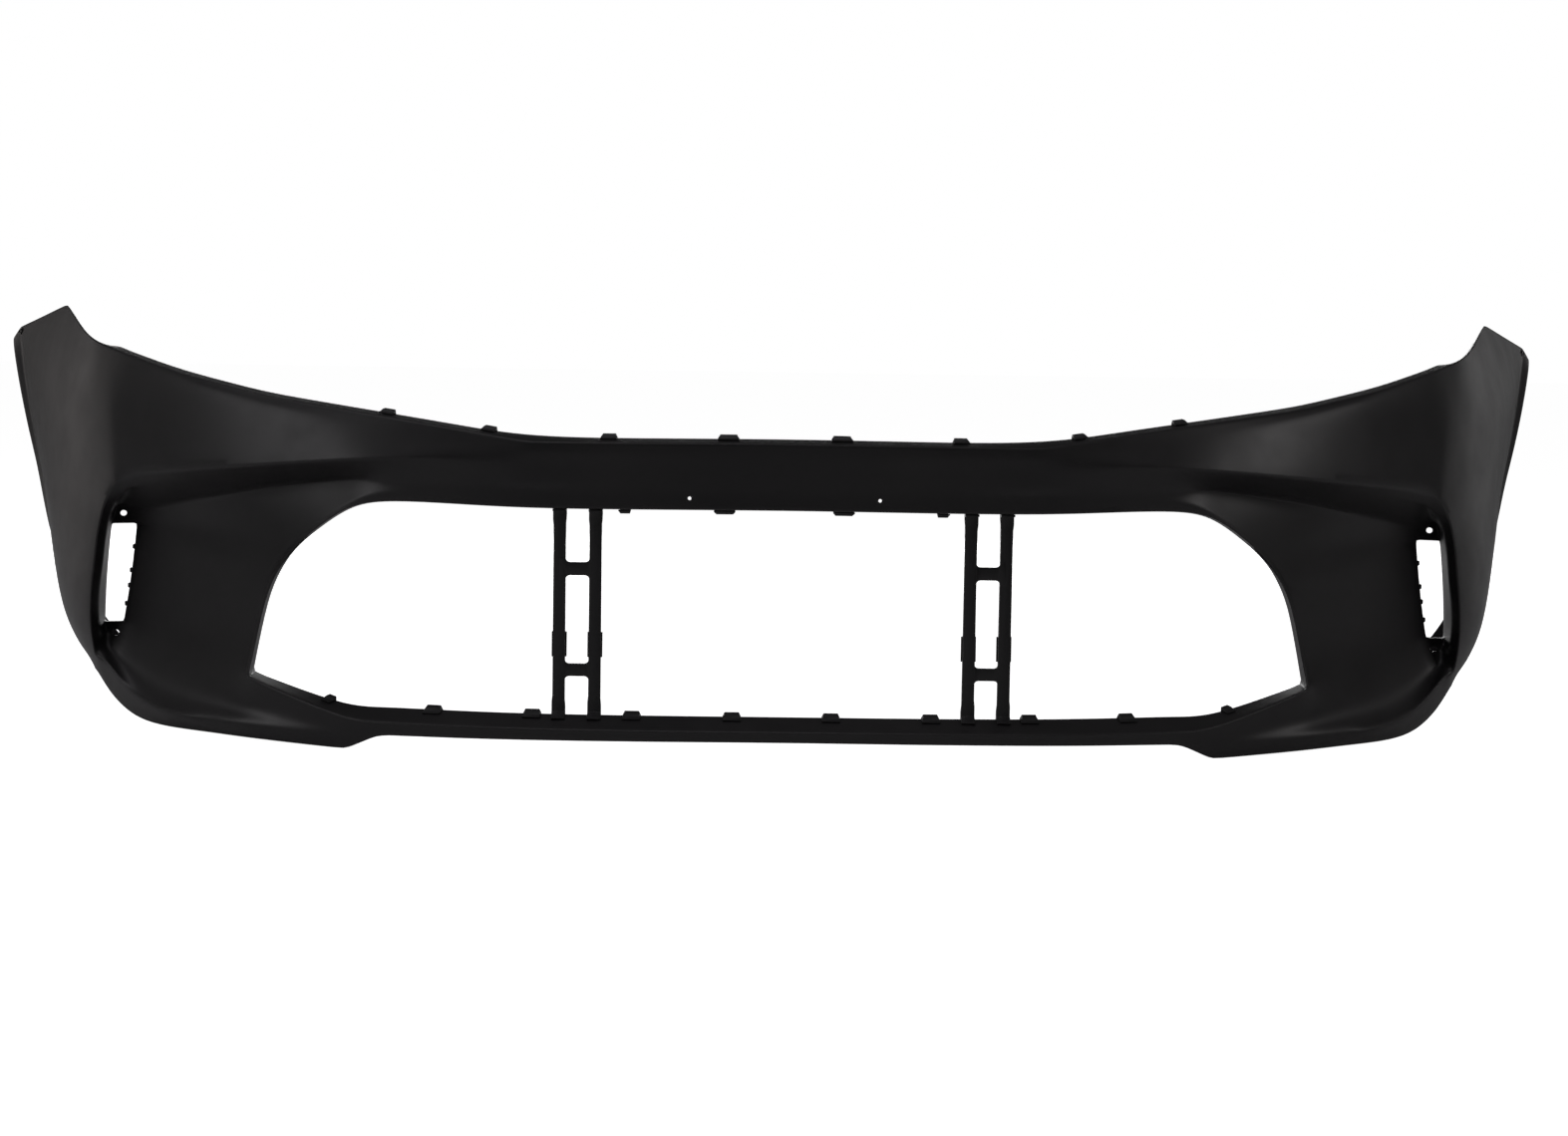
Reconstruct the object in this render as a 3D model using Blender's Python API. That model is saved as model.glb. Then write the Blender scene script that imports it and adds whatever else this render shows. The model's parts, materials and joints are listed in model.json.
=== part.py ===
"""Front bumper cover of a mid-size car: one moulded shell, two grille struts, and the clips on its flanges.

The front faces -Y, +Z is up and the mirror plane is X = 0. Lengths below are in millimetres, and the
shell's points are counted from the cage's own origin.
"""

import math

import bmesh
import bpy
from mathutils import Matrix, Vector
from mathutils.bvhtree import BVHTree

MM = 0.001

# The shell.
WALL = 3.0
SMOOTHING = 1
SLOT_HOLE_RADIUS = 3.2
SLOT_HOLE_UPPER = (717.0, 289.0, 225.5)
SLOT_HOLE_LOWER = (727.0, 298.0, 93.5)
SLOT_HOLE_AXIS = (0.30, 1.0, 0.0)
PILOT_HOLE_RADIUS = 1.8
PILOT_HOLE = (97.0, 6.0, 264.0)
RETURN_DEPTH = 24.0
LEDGE_DEPTH = 30.0
LEDGE_RISE = 13.0
LEDGE_BEND_RISE = 10.0
LEDGE_END_RISE = 3.0
SLOT_RIM_DEPTH = 9.0

# Plan view of the front: it falls back from the middle as a power of the distance across.
PLAN_HALF_WIDTH = 780.0
PLAN_FALL = 330.0
PLAN_POWER = 2.95

# Wheel arch: a circle in side view, on a panel that widens with height.
ARCH_CENTRE_Y = 970.0
ARCH_CENTRE_Z = 143.0
ARCH_RADIUS = 370.0
ARCH_FOOT_X = 791.0
ARCH_LEAN = 0.326
ARCH_BULGE = 8.0
ARCH_BULGE_SPAN = 260.0
ARCH_TUCK = 60.0
ARCH_TUCK_SPAN = 130.0
ARCH_FLARE_START_Z = 135.0
ARCH_TOP_Z = 425.0
ARCH_FLARE = 11.0
ARCH_FLARE_DEPTH = 10.0
ARCH_RETURN = 24.0

# Spring clips pushed over the flanges.
GAP = 0.4
EDGE_GAP = 0.6
EDGE_STEP = 0.2
CLIP_PLATE = 1.6
CLIP_REACH = 11.0
CLIP_HOOK = 2.2
CLIP_TAPER = 0.78
TOP_CLIPS = ((58.0, 22.0), (180.0, 17.0), (303.0, 15.0), (410.0, 15.0))
LIP_CLIPS = ((51.0, 19.0), (154.0, 19.0), (257.0, 19.0), (360.0, 19.0), (472.0, 11.0))
BAND_CLIPS = ((61.0, 22.0), (163.0, 12.0))

# Grille strut: two rails that hook over the flanges, two rungs, and a block behind each rail for the grille.
# A neck is a share of the way down the rail and its width there.
# A rung is a share of the way up and its height.
STRUT_X = 211.5
STRUT_SPREAD = 37.0
STRUT_DEPTH = 8.0
STRUT_JAW = 2.4
STRUT_BITE = 13.0
STRUT_HEAD = 14.0
STRUT_NECKS = ((0.05, 14.0), (0.08, 12.6), (0.93, 12.6), (0.96, 14.0))
RUNGS = ((0.704, 13.6), (0.213, 13.0))
RUNG_FILLET = 4.5
RUNG_ARC_STEPS = 4
RUNG_OVERLAP = 0.1
HOOK_SHARE = 0.335
HOOK_SIZE = (15.5, 5.0, 26.0)
HOOK_OVERLAP = 1.0
RUNG_DEPTH = 6.0

# Rows of the shell's cage, from the upper flange down to the lower flange.
(TOP_FLANGE, TOP_CREASE, SHOULDER, BLADE, BEVEL, ROOF_REAR, STRIP, OPENING_TOP, SLOT_TOP,
 SLOT_HIGH, SLOT_LOW, SLOT_BOTTOM, LIP, FOLD, TROUGH, RIDGE, BOTTOM, BOTTOM_FLANGE) = range(18)

# Columns of the cage, from the mirror plane out to the wheel arch.
(CENTRE, QUARTER, KINK, LAMP, ROOF_TIP, DIAGONAL, OPENING_SIDE, STRIP_SIDE, PANEL_INNER, PANEL_OUTER,
 SLOT_INNER, SLOT_OUTER, BEVEL_SIDE, BLADE_SIDE, CORNER, TIP, SIDE, ARCH_INNER, ARCH_EDGE,
 ARCH_FLANGE) = range(20)

# The cage's own origin, seen from the middle of the cover's base.
CAGE_ORIGIN = (0.0, -366.5, 4.9)

# Where a column stands when its row doesn't say otherwise.
COLUMN_X = (0, 131, 262, 340, 416, 458, 500, 545, 592, 645, 690, 712, 724, 738)

# Front view of each row as (column, x, z, recess): recess is how far it stands behind the plan curve.
ROWS = {
    TOP_CREASE: [(CENTRE, 0, 321, 4), (KINK, 262, 319, 5), (LAMP, 340, 331, 10), (ROOF_TIP, 416, 342, 8),
                 (STRIP_SIDE, 545, 360, 8), (PANEL_OUTER, 645, 381, 8), (SLOT_OUTER, 712, 400, 10),
                 (BLADE_SIDE, 738, 408, 16)],
    SHOULDER: [(CENTRE, 0, 308, 5), (KINK, 262, 309, 4), (LAMP, 340, 315, 7), (ROOF_TIP, 416, 326, 1),
               (STRIP_SIDE, 545, 350, 0), (PANEL_OUTER, 645, 373, 0), (SLOT_INNER, 690, 370, -2),
               (BEVEL_SIDE, 724, 356, -8), (BLADE_SIDE, 736, 348, -10)],
    BLADE: [(CENTRE, 0, 295, 6), (KINK, 262, 299, 6), (LAMP, 340, 302, -1), (ROOF_TIP, 416, 300, -11),
            (DIAGONAL, 458, 297, -14), (STRIP_SIDE, 545, 289, -18), (PANEL_OUTER, 645, 279, -18),
            (SLOT_INNER, 682, 274, -16), (SLOT_OUTER, 698, 271, -16), (BEVEL_SIDE, 709, 267.5, -17),
            (BLADE_SIDE, 719, 261, -19)],
    BEVEL: [(CENTRE, 0, 282, 7), (KINK, 262, 284, 7), (LAMP, 340, 288, 5), (ROOF_TIP, 416, 290, 0),
            (DIAGONAL, 458, 288, -1), (STRIP_SIDE, 545, 279, -1), (PANEL_OUTER, 645, 267, -2),
            (SLOT_INNER, 682, 261, -1), (SLOT_OUTER, 699, 257, 0), (BEVEL_SIDE, 714, 250, -4),
            (BLADE_SIDE, 729, 247, -20)],
    ROOF_REAR: [(CENTRE, 0, 270, 8), (KINK, 262, 271, 8), (LAMP, 340, 274, 8), (ROOF_TIP, 416, 277, 10),
                (DIAGONAL, 458, 274, 25), (STRIP_SIDE, 545, 262, 35), (PANEL_OUTER, 645, 241, 36),
                (SLOT_INNER, 695, 230, 36), (SLOT_OUTER, 724, 238, 24), (BEVEL_SIDE, 727, 232, -2),
                (BLADE_SIDE, 735, 234, -20)],
    STRIP: [(CENTRE, 0, 261, 8), (KINK, 262, 261, 8), (LAMP, 340, 263, 8), (ROOF_TIP, 418, 267, 9),
            (DIAGONAL, 450, 251, 12), (OPENING_SIDE, 483, 232, 15), (STRIP_SIDE, 512, 210, 20),
            (PANEL_INNER, 575, 222, 38), (PANEL_OUTER, 640, 228, 41), (SLOT_INNER, 698, 226, 42),
            (SLOT_OUTER, 728, 231, 28), (BEVEL_SIDE, 731, 219, 0), (BLADE_SIDE, 739, 220, -19)],
    OPENING_TOP: [(CENTRE, 0, 253, 8), (KINK, 262, 251, 8), (LAMP, 340, 254, 9), (ROOF_TIP, 421, 256, 10),
                  (DIAGONAL, 455, 246, 12), (OPENING_SIDE, 495, 216, 15), (STRIP_SIDE, 523, 197, 22),
                  (PANEL_INNER, 580, 203, 39), (PANEL_OUTER, 641, 214, 43), (SLOT_INNER, 701, 221, 44),
                  (SLOT_OUTER, 730, 223, 29), (BEVEL_SIDE, 734, 206, 0), (BLADE_SIDE, 742, 207, -20)],
    SLOT_TOP: [(OPENING_SIDE, 517, 195, 17), (STRIP_SIDE, 532, 182, 23), (PANEL_INNER, 585, 186, 35),
               (PANEL_OUTER, 643, 200, 42), (SLOT_INNER, 703, 215, 45), (SLOT_OUTER, 735, 213, 30),
               (BEVEL_SIDE, 736, 192, 0), (BLADE_SIDE, 744, 194, -20)],
    SLOT_HIGH: [(OPENING_SIDE, 532, 171, 20), (STRIP_SIDE, 538, 167, 24), (PANEL_INNER, 590, 167, 37),
                (PANEL_OUTER, 648, 174, 44), (SLOT_INNER, 707, 180, 44), (SLOT_OUTER, 739, 178, 28),
                (BEVEL_SIDE, 739, 167, 0), (BLADE_SIDE, 748, 168, -19)],
    SLOT_LOW: [(OPENING_SIDE, 543, 146, 23), (STRIP_SIDE, 548, 144, 26), (PANEL_INNER, 598, 141, 38),
               (PANEL_OUTER, 655, 142, 45), (SLOT_INNER, 712, 144, 42), (SLOT_OUTER, 742, 142, 27),
               (BEVEL_SIDE, 744, 142, 0), (BLADE_SIDE, 751, 142, -20)],
    SLOT_BOTTOM: [(OPENING_SIDE, 554, 101, 27), (STRIP_SIDE, 559, 100, 28), (PANEL_INNER, 606, 102, 38),
                  (PANEL_OUTER, 661, 105, 45), (SLOT_INNER, 719, 106, 38), (SLOT_OUTER, 743, 104, 26),
                  (BEVEL_SIDE, 745, 116, 0), (BLADE_SIDE, 752, 116, -20)],
    LIP: [(CENTRE, 0, 25, 10), (KINK, 262, 24, 10), (ROOF_TIP, 416, 25, 10), (DIAGONAL, 455, 26, 10),
          (OPENING_SIDE, 561, 63, 12), (STRIP_SIDE, 570, 66, 20), (PANEL_INNER, 611, 76, 32),
          (PANEL_OUTER, 663, 84, 40), (SLOT_INNER, 717, 91, 34), (SLOT_OUTER, 740, 91, 24),
          (BEVEL_SIDE, 743, 97, 2), (BLADE_SIDE, 751, 97, -19)],
    FOLD: [(CENTRE, 0, 22.5, 11), (KINK, 262, 22, 11), (ROOF_TIP, 417, 22, 11), (DIAGONAL, 456, 20, 11),
           (OPENING_SIDE, 548, 36, 16), (STRIP_SIDE, 568, 37, 20), (PANEL_INNER, 613, 45, 26),
           (PANEL_OUTER, 664, 58, 30), (SLOT_INNER, 716, 73, 28), (SLOT_OUTER, 738, 82, 20),
           (BEVEL_SIDE, 743, 86, 4), (BLADE_SIDE, 749, 84, -16)],
    TROUGH: [(CENTRE, 0, 20, 12), (KINK, 262, 20, 12), (ROOF_TIP, 417, 19, 12), (DIAGONAL, 455, 13, 12),
             (OPENING_SIDE, 547, 22, 13), (STRIP_SIDE, 570, 24, 16), (PANEL_INNER, 613, 28, 20),
             (PANEL_OUTER, 664, 37, 22), (SLOT_INNER, 712, 59, 22), (SLOT_OUTER, 734, 73, 18),
             (BEVEL_SIDE, 742, 77, 2), (BLADE_SIDE, 748, 74, -13)],
    RIDGE: [(CENTRE, 0, 18, 13), (KINK, 262, 17, 13), (ROOF_TIP, 417, 16, 13), (DIAGONAL, 454, 6, 13),
            (OPENING_SIDE, 546, 12, 6), (STRIP_SIDE, 570, 14, 2), (PANEL_INNER, 613, 15, 0),
            (PANEL_OUTER, 664, 17, 0), (SLOT_INNER, 700, 32, 0), (SLOT_OUTER, 722, 54, -4),
            (BEVEL_SIDE, 735, 66, -6), (BLADE_SIDE, 746, 67, -8)],
    BOTTOM: [(CENTRE, 0, 14, 15), (KINK, 262, 12, 15), (ROOF_TIP, 417, 11, 15), (DIAGONAL, 452, -6, 16),
             (OPENING_SIDE, 546, -3, 16), (PANEL_INNER, 613, -1, 16), (PANEL_OUTER, 664, -1, 16),
             (SLOT_INNER, 698, 4, 16), (SLOT_OUTER, 722, 18, 16), (BEVEL_SIDE, 738, 33, 16),
             (BLADE_SIDE, 749, 50, 10)],
}

# The cheek's own upper edge, from the lamp round the fender tip to the arch corner, as points.
CHEEK_TOP = {CORNER: (769, 340, 419), TIP: (813, 478, 456), SIDE: (860, 580, 441),
             ARCH_INNER: (911, 698, 427), ARCH_EDGE: (924, 716, 412)}
# Height at which each row reaches the wheel arch.
ARCH_Z = {SHOULDER: 402, BLADE: 365, BEVEL: 325, ROOF_REAR: 295, STRIP: 268, OPENING_TOP: 243,
          SLOT_TOP: 216, SLOT_HIGH: 188, SLOT_LOW: 158, SLOT_BOTTOM: 128, LIP: 105, FOLD: 88,
          TROUGH: 74, RIDGE: 59, BOTTOM: 40}
CHEEK_STEPS = {CORNER: 0.2, TIP: 0.45, SIDE: 0.75}
# How far along its chord the cheek's bend stands, sideways and rearwards, at the foot and high up.
CHEEK_BEND_LOW = (0.78, 0.20)
CHEEK_BEND_HIGH = (0.62, 0.34)
CHEEK_BEND_LOW_Z = 100.0
CHEEK_BEND_HIGH_Z = 300.0

# Flanges, as the step from the visible edge to the flange's free edge.
TOP_FLANGE_STEPS = {CENTRE: (0, 22, 4), SLOT_INNER: (-2, 22, 3), BLADE_SIDE: (-8, 19, 1),
                    CORNER: (-10, 16, -13), TIP: (-8, 10, -22), ARCH_FLANGE: (-12, 2, -16)}
BOTTOM_FLANGE_STEPS = {CENTRE: (0, 42, 3), SLOT_INNER: (-8, 36, 4), BEVEL_SIDE: (-20, 20, 5),
                       ARCH_FLANGE: (-26, 2, 2)}

# Creased lines: (row or column number, from, to, sharpness).
ROW_CREASES = [(TOP_CREASE, CENTRE, ARCH_EDGE, 0.95), (SHOULDER, LAMP, PANEL_OUTER, 0.3),
               (BLADE, LAMP, ROOF_TIP, 0.5), (BLADE, ROOF_TIP, BLADE_SIDE, 0.95),
               (BEVEL, PANEL_OUTER, BEVEL_SIDE, 0.6), (ROOF_REAR, ROOF_TIP, PANEL_OUTER, 0.6),
               (ROOF_REAR, PANEL_OUTER, SLOT_OUTER, 0.6), (STRIP, ROOF_TIP, STRIP_SIDE, 0.9),
               (OPENING_TOP, CENTRE, OPENING_SIDE, 0.95), (LIP, CENTRE, OPENING_SIDE, 0.95),
               (LIP, OPENING_SIDE, STRIP_SIDE, 0.4), (RIDGE, PANEL_INNER, PANEL_OUTER, 0.5),
               (RIDGE, PANEL_OUTER, BLADE_SIDE, 0.95), (BOTTOM, CENTRE, ARCH_EDGE, 0.9)]
COLUMN_CREASES = [(KINK, TOP_CREASE, ROOF_REAR, 0.6), (BLADE_SIDE, BLADE, RIDGE, 0.92),
                  (BEVEL_SIDE, BEVEL, FOLD, 0.6),
                  (SLOT_OUTER, ROOF_REAR, LIP, 0.8), (STRIP_SIDE, STRIP, SLOT_HIGH, 0.8),
                  (OPENING_SIDE, OPENING_TOP, LIP, 0.95), (ARCH_INNER, TOP_CREASE, SLOT_LOW, 0.9),
                  (ARCH_EDGE, TOP_CREASE, BOTTOM, 0.95)]
SHARP_POINTS = [(LIP, OPENING_SIDE), (TOP_CREASE, TIP), (TOP_FLANGE, TIP), (TOP_CREASE, ARCH_EDGE),
                (TOP_CREASE, ARCH_INNER), (TOP_CREASE, KINK), (OPENING_TOP, LAMP), (BOTTOM, ARCH_EDGE),
                (BOTTOM, DIAGONAL), (BOTTOM, ROOF_TIP)]


def clear_scene():
    """An empty scene with one empty, the cage's origin, that holds every piece."""
    for thing in list(bpy.data.objects):
        bpy.data.objects.remove(thing, do_unlink=True)
    base = bpy.data.objects.new("cover", None)
    base.location = Vector(CAGE_ORIGIN) * MM
    bpy.context.scene.collection.objects.link(base)


def plastic(name, colour, roughness, metallic=0.0):
    """A Principled material of one plain colour."""
    material = bpy.data.materials.new(name)
    material.use_nodes = True
    shader = material.node_tree.nodes["Principled BSDF"]
    shader.inputs["Base Color"].default_value = (*colour, 1.0)
    shader.inputs["Roughness"].default_value = roughness
    shader.inputs["Metallic"].default_value = metallic
    material.diffuse_color = (*colour, 1.0)
    return material


def add_object(name, bm, material, closed=True):
    """A scene object from a bmesh in millimetres."""
    mesh = bpy.data.meshes.new(name)
    if closed:
        bmesh.ops.recalc_face_normals(bm, faces=bm.faces)
        if bm.calc_volume(signed=True) < 0:
            bmesh.ops.reverse_faces(bm, faces=bm.faces)
    bmesh.ops.scale(bm, vec=(MM, MM, MM), verts=bm.verts)
    bm.to_mesh(mesh)
    bm.free()
    mesh.materials.append(material)
    thing = bpy.data.objects.new(name, mesh)
    bpy.context.scene.collection.objects.link(thing)
    thing.parent = bpy.data.objects["cover"]
    return thing


# The shell's cage.

def plan_y(x):
    return PLAN_FALL * (abs(x) / PLAN_HALF_WIDTH) ** PLAN_POWER


def between(stations, column, place):
    """The values at a column, straight between the nearest two stations."""
    for before, after in zip(stations, stations[1:]):
        if before[0] <= column <= after[0]:
            share = (place(column) - place(before[0])) / (place(after[0]) - place(before[0]))
            return [a + share * (b - a) for a, b in zip(before[1:], after[1:])]
    return list(stations[-1][1:])


def front_point(row, column):
    x, z, recess = between(ROWS[row], column, lambda c: COLUMN_X[c])
    return Vector((x, plan_y(x) + recess, z))


def arch_point(z):
    """A point on the wheel arch's edge."""
    bulge = ARCH_BULGE * max(0.0, math.sin(math.pi * min(z / ARCH_BULGE_SPAN, 1.0)))
    bulge -= ARCH_TUCK * max(0.0, 1.0 - z / ARCH_TUCK_SPAN) ** 2
    y = ARCH_CENTRE_Y - math.sqrt(ARCH_RADIUS ** 2 - (z - ARCH_CENTRE_Z) ** 2)
    return Vector((ARCH_FOOT_X + ARCH_LEAN * z + bulge, y, z))


def arch_inner_point(z):
    """A point where the arch's flared edge begins."""
    share = max(0.0, (z - ARCH_FLARE_START_Z) / (ARCH_TOP_Z - ARCH_FLARE_START_Z))
    return arch_point(z) - Vector((3.0 + ARCH_FLARE * share, ARCH_FLARE_DEPTH, 0.0))


def cheek_point(row, column):
    """A point of the cheek: a bowed line from the blade's crease back to the arch."""
    if row == TOP_CREASE:
        return Vector(CHEEK_TOP[column])
    z = ARCH_Z[row]
    if column == ARCH_EDGE:
        return arch_point(z)
    if column == ARCH_INNER:
        return arch_inner_point(z)
    start = front_point(row, BLADE_SIDE)
    end = arch_inner_point(z)
    rise = min(max((z - CHEEK_BEND_LOW_Z) / (CHEEK_BEND_HIGH_Z - CHEEK_BEND_LOW_Z), 0.0), 1.0)
    across, back = (low + rise * (high - low) for low, high in zip(CHEEK_BEND_LOW, CHEEK_BEND_HIGH))
    bend = Vector((start.x + across * (end.x - start.x), start.y + back * (end.y - start.y),
                   (start.z + end.z) / 2))
    t = CHEEK_STEPS[column]
    return start * (1 - t) ** 2 + bend * 2 * t * (1 - t) + end * t ** 2


def cage_point(row, column):
    """A point of the cage."""
    if row == TOP_FLANGE:
        step = Vector(between([(c, *s) for c, s in TOP_FLANGE_STEPS.items()], column, float))
        return cage_point(TOP_CREASE, column) + step
    if row == BOTTOM_FLANGE:
        step = Vector(between([(c, *s) for c, s in BOTTOM_FLANGE_STEPS.items()], column, float))
        return cage_point(BOTTOM, column) + step
    if column == ARCH_FLANGE:
        return cage_point(row, ARCH_EDGE) + Vector((-ARCH_RETURN, 6.0, 0.0))
    if column >= CORNER:
        return cheek_point(row, column)
    return front_point(row, column)


def is_open(row, column):
    """Whether the cage's face below this row and outside this column is left out."""
    grille = column < OPENING_SIDE and OPENING_TOP <= row < LIP
    slot = column == SLOT_INNER and SLOT_TOP <= row < SLOT_BOTTOM
    return grille or slot


def has_point(row, column):
    return column >= OPENING_SIDE or not OPENING_TOP < row < LIP


def opening_rim():
    """The grille opening's edge in order, each with the step to its flange's rear edge."""
    top = [(OPENING_TOP, c, Vector((0.0, RETURN_DEPTH, -1.5))) for c in range(CENTRE, OPENING_SIDE + 1)]
    side = [(r, OPENING_SIDE, Vector((-1.0, RETURN_DEPTH, 0.0))) for r in range(SLOT_TOP, LIP)]
    foot = [(LIP, OPENING_SIDE, Vector((-2.0, LEDGE_DEPTH, LEDGE_END_RISE)))]
    ledge = [(LIP, c, Vector((0.0, LEDGE_DEPTH, LEDGE_RISE if c <= ROOF_TIP else LEDGE_BEND_RISE)))
             for c in range(DIAGONAL, CENTRE - 1, -1)]
    return top + side + foot + ledge


def slot_rim():
    """The air slot's edge in order."""
    down = [(r, SLOT_INNER) for r in range(SLOT_TOP, SLOT_BOTTOM + 1)]
    up = [(r, SLOT_OUTER) for r in range(SLOT_BOTTOM, SLOT_TOP - 1, -1)]
    return down + up + down[:1]


def shell_cage():
    """The half cage as a bmesh, with its creases."""
    bm = bmesh.new()
    edge_crease = bm.edges.layers.float.new("crease_edge")
    point_crease = bm.verts.layers.float.new("crease_vert")
    points = {}
    for row in range(BOTTOM_FLANGE + 1):
        for column in range(ARCH_FLANGE + 1):
            if has_point(row, column):
                points[row, column] = bm.verts.new(cage_point(row, column))
    for row in range(BOTTOM_FLANGE):
        for column in range(ARCH_FLANGE):
            if not is_open(row, column):
                bm.faces.new((points[row, column], points[row + 1, column],
                              points[row + 1, column + 1], points[row, column + 1]))
    rim = opening_rim()
    rim_keys = [(row, column) for row, column, step in rim]
    rear = [bm.verts.new(points[row, column].co + step) for row, column, step in rim]
    for index in range(len(rim) - 1):
        near, far = points[rim[index][:2]], points[rim[index + 1][:2]]
        bm.faces.new((near, rear[index], rear[index + 1], far))
    edge = slot_rim()
    back = [bm.verts.new(points[key].co + Vector((0.0, SLOT_RIM_DEPTH, 0.0))) for key in edge[:-1]]
    for index in range(len(edge) - 1):
        following = back[(index + 1) % len(back)]
        bm.faces.new((points[edge[index]], back[index], following, points[edge[index + 1]]))
        bm.edges.get((points[edge[index]], points[edge[index + 1]]))[edge_crease] = 0.9
    for key in ((SLOT_TOP, SLOT_INNER), (SLOT_TOP, SLOT_OUTER),
                (SLOT_BOTTOM, SLOT_INNER), (SLOT_BOTTOM, SLOT_OUTER)):
        points[key][point_crease] = 0.7
        bm.edges.get((points[key], back[edge.index(key)]))[edge_crease] = 0.8
    for row, start, end, sharpness in ROW_CREASES:
        for column in range(start, end):
            bm.edges.get((points[row, column], points[row, column + 1]))[edge_crease] = sharpness
    for column, start, end, sharpness in COLUMN_CREASES:
        for row in range(start, end):
            bm.edges.get((points[row, column], points[row + 1, column]))[edge_crease] = sharpness
    for key in SHARP_POINTS:
        points[key][point_crease] = 0.8
    corner = rim_keys.index((LIP, OPENING_SIDE))
    rear[corner][point_crease] = 0.8
    bm.edges.get((points[LIP, OPENING_SIDE], rear[corner]))[edge_crease] = 0.8
    bmesh.ops.recalc_face_normals(bm, faces=bm.faces)
    bm.normal_update()
    if points[BLADE, CENTRE].normal.y > 0:
        bmesh.ops.reverse_faces(bm, faces=bm.faces)
    return bm


def drill(name, centre, axis, radius, depth):
    """A hidden cylinder that bores a hole."""
    bm = bmesh.new()
    turn = Vector((0, 0, 1)).rotation_difference(Vector(axis)).to_matrix().to_4x4()
    bmesh.ops.create_cone(bm, cap_ends=True, segments=12, radius1=radius, radius2=radius, depth=depth,
                          matrix=Matrix.Translation(centre) @ turn)
    cutter = add_object(name, bm, bpy.data.materials["shell"])
    cutter.hide_render = True
    cutter.display_type = "WIRE"
    return cutter


def add_shell():
    """The moulded cover: mirrored, smoothed, given its wall and drilled."""
    shell = add_object("cover_shell", shell_cage(), plastic("shell", (0.018, 0.017, 0.018), 0.45), False)
    mirror = shell.modifiers.new("both sides", "MIRROR")
    mirror.merge_threshold = 0.0001
    smooth = shell.modifiers.new("smooth", "SUBSURF")
    smooth.levels = SMOOTHING
    smooth.render_levels = SMOOTHING
    wall = shell.modifiers.new("wall", "SOLIDIFY")
    wall.thickness = WALL * MM
    wall.offset = -1.0
    wall.use_even_offset = True
    wall.thickness_clamp = 1.0
    for side in (-1, 1):
        where = "left" if side < 0 else "right"
        for place, (x, y, z), axis, radius in (
                ("slot_upper", SLOT_HOLE_UPPER, SLOT_HOLE_AXIS, SLOT_HOLE_RADIUS),
                ("slot_lower", SLOT_HOLE_LOWER, SLOT_HOLE_AXIS, SLOT_HOLE_RADIUS),
                ("pilot", PILOT_HOLE, (0.0, 1.0, 0.0), PILOT_HOLE_RADIUS)):
            axis = (side * axis[0], axis[1], axis[2])
            cutter = drill(f"bore_{place}_{where}", Vector((side * x, y, z)), axis, radius, 24.0)
            cut = shell.modifiers.new(f"{place} {where}", "BOOLEAN")
            cut.object = cutter
    return shell


# The clips and struts.

def surface_of(shell):
    """The shell's finished surface in millimetres, for seating pieces on it."""
    evaluated = shell.evaluated_get(bpy.context.evaluated_depsgraph_get())
    mesh = evaluated.to_mesh()
    points = [vertex.co / MM for vertex in mesh.vertices]
    tree = BVHTree.FromPolygons(points, [tuple(face.vertices) for face in mesh.polygons])
    evaluated.to_mesh_clear()
    return tree


def flange_lines():
    """Each flange's near and free edge, column by column."""
    rim = [(row, cage_point(row, column), step) for row, column, step in opening_rim()]
    return {
        "top": [(cage_point(TOP_CREASE, c), cage_point(TOP_FLANGE, c)) for c in range(CENTRE, BLADE_SIDE)],
        "band": [(near, near + step) for row, near, step in rim if row == OPENING_TOP],
        "lip": [(near, near + step) for row, near, step in reversed(rim) if row == LIP],
    }


def edge_pair(line, x):
    """The near and free edge of a flange at x, on either side of the mirror plane."""
    for before, after in zip(line, line[1:]):
        if before[0].x <= abs(x) <= after[0].x:
            share = (abs(x) - before[0].x) / (after[0].x - before[0].x)
            pair = [a.lerp(b, share) for a, b in zip(before, after)]
            return [Vector((math.copysign(p.x, x), p.y, p.z)) for p in pair]
    raise ValueError(f"no flange at {x}")


def free_edge(surface, start, back, out):
    """How far the flange runs on beyond a point on it."""
    reach = 0.0
    while surface.ray_cast(start + back * reach + out * CLIP_REACH, -out, CLIP_REACH + WALL + 2.0)[0]:
        reach += EDGE_STEP
    return reach


def flange_frame(surface, line, x, width, up):
    """A frame on a flange's free edge at x: along it, rearwards off it, and out of its visible face."""
    near, far = edge_pair(line, x)
    lower, upper = (edge_pair(line, x + side * width / 2)[1] for side in (-1, 1))
    along = (upper - lower).normalized()
    back = (far - near).normalized()
    out = along.cross(back).normalized() * up
    back = out.cross(along).normalized() * up
    seat = surface.ray_cast(far - back * (CLIP_REACH / 2) + out * CLIP_REACH, -out)[0]
    overhang = max(free_edge(surface, seat + along * (side * width / 2), back, out) for side in (-1, 0, 1))
    return Matrix((along, back, out)).transposed(), seat + back * overhang


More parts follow.
